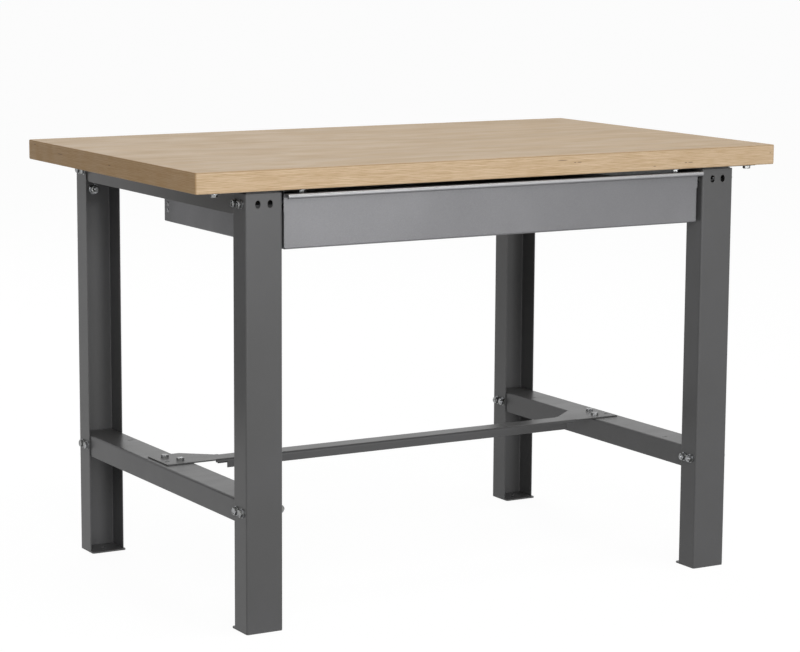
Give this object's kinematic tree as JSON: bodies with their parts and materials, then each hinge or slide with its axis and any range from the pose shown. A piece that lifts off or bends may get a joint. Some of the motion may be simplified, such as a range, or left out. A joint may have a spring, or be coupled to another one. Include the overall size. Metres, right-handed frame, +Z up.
{
  "type": "workshop bench",
  "caption": "Workshop bench with a thick plywood top on a bolted dark-grey sheet-steel frame, a shallow full-width light-grey drawer with a rolled handle, and an H-shaped lower brace.",
  "frame": {"origin": "on the floor, at the middle of the bench's outline seen from above", "axes": "+X along the bench to the right, +Y from the drawer side to the rear, +Z up"},
  "size_m": [1.25, 0.757, 0.83],
  "materials": {
    "plywood": "sanded birch-like plywood, clear matt",
    "frame_paint": "semi-gloss dark grey powder coat",
    "drawer_paint": "light grey metallic powder coat",
    "zinc": "bright zinc plated",
    "galvanised": "galvanised sheet",
    "nylon": "natural nylon"
  },
  "bodies": {
    "bench": {"tabletop": "plywood", "leg_front_left": "frame_paint", "leg_front_right": "frame_paint", "leg_rear_left": "frame_paint", "leg_rear_right": "frame_paint", "foot_plate_front_left": "frame_paint", "foot_plate_front_right": "frame_paint", "foot_plate_rear_left": "frame_paint", "foot_plate_rear_right": "frame_paint", "lower_rail_left": "frame_paint", "lower_rail_right": "frame_paint", "upper_rail_left": "frame_paint", "upper_rail_right": "frame_paint", "top_strap_front_left": "frame_paint", "top_strap_front_right": "frame_paint", "top_strap_rear_left": "frame_paint", "top_strap_rear_right": "frame_paint", "stretcher": "frame_paint", "rail_bolt_lower_front_left_1": "zinc", "rail_bolt_lower_front_left_2": "zinc", "rail_bolt_lower_front_right_1": "zinc", "rail_bolt_lower_front_right_2": "zinc", "rail_bolt_lower_rear_left_1": "zinc", "rail_bolt_lower_rear_left_2": "zinc", "rail_bolt_lower_rear_right_1": "zinc", "rail_bolt_lower_rear_right_2": "zinc", "rail_bolt_upper_front_left_1": "zinc", "rail_bolt_upper_front_left_2": "zinc", "rail_bolt_upper_front_right_1": "zinc", "rail_bolt_upper_front_right_2": "zinc", "rail_bolt_upper_rear_left_1": "zinc", "rail_bolt_upper_rear_left_2": "zinc", "rail_bolt_upper_rear_right_1": "zinc", "rail_bolt_upper_rear_right_2": "zinc", "stretcher_bolt_left_1": "zinc", "stretcher_bolt_left_2": "zinc", "stretcher_bolt_right_1": "zinc", "stretcher_bolt_right_2": "zinc", "top_bolt_front_left_1": "zinc", "top_bolt_front_left_2": "zinc", "top_bolt_front_right_1": "zinc", "top_bolt_front_right_2": "zinc", "top_bolt_rear_left_1": "zinc", "top_bolt_rear_left_2": "zinc", "top_bolt_rear_right_1": "zinc", "top_bolt_rear_right_2": "zinc", "accessory_bolt_left": "zinc", "accessory_bolt_right": "zinc", "runner_left": "galvanised", "runner_right": "galvanised", "runner_screw_left_1": "zinc", "runner_screw_left_2": "zinc", "runner_screw_right_1": "zinc", "runner_screw_right_2": "zinc"},
    "drawer": {"drawer_shell": "drawer_paint", "drawer_floor": "drawer_paint", "drawer_back": "drawer_paint", "glide_left": "nylon", "glide_right": "nylon"}
  },
  "joints": [
    {"name": "drawer_slide", "type": "slide", "parent": "bench", "child": "drawer", "axis": [0, -1, 0], "range_m": [0, 0.34]}
  ]
}
